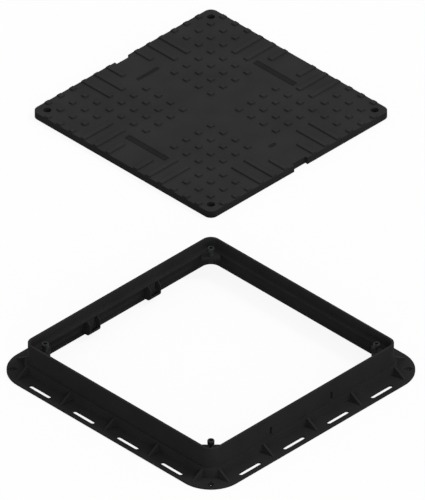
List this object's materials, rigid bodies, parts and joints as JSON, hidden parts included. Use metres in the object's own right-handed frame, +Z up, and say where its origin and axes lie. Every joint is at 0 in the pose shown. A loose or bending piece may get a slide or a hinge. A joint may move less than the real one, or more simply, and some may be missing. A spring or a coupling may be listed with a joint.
{
  "type": "inspection cover",
  "caption": "Square moulded inspection cover with a studded tread, taken off its surface frame, which has a slotted flange, a stepped wall, a seat ledge and locking screws.",
  "frame": {"origin": "centre of the frame's opening, on the underside of its flange; the same point is the centre of the corner stake holes", "axes": "+Z up, out of the ground; X and Y along the frame's sides; the lid lies on the ground behind the frame, towards -X and +Y"},
  "size_m": [1.4855, 1.4855, 0.086],
  "materials": {
    "moulded_frame": "black compression-moulded composite, satin",
    "moulded_lid": "black compression-moulded composite, satin",
    "insert_brass": "turned, knurled",
    "screw_steel": "black oxide"
  },
  "bodies": {
    "frame": {"frame": "moulded_frame", "cover": "moulded_lid", "insert_front": "insert_brass", "insert_right": "insert_brass", "insert_back": "insert_brass", "insert_left": "insert_brass"},
    "screw_front": {"screw_front": "screw_steel"},
    "screw_right": {"screw_right": "screw_steel"},
    "screw_back": {"screw_back": "screw_steel"},
    "screw_left": {"screw_left": "screw_steel"}
  },
  "joints": [
    {"name": "screw_front_run_out", "type": "slide", "parent": "frame", "child": "screw_front", "axis": [0, 0, 1], "range_m": [0, 0.015]},
    {"name": "screw_right_run_out", "type": "slide", "parent": "frame", "child": "screw_right", "axis": [0, 0, 1], "range_m": [0, 0.015]},
    {"name": "screw_back_run_out", "type": "slide", "parent": "frame", "child": "screw_back", "axis": [0, 0, 1], "range_m": [0, 0.015]},
    {"name": "screw_left_run_out", "type": "slide", "parent": "frame", "child": "screw_left", "axis": [0, 0, 1], "range_m": [0, 0.015]}
  ]
}
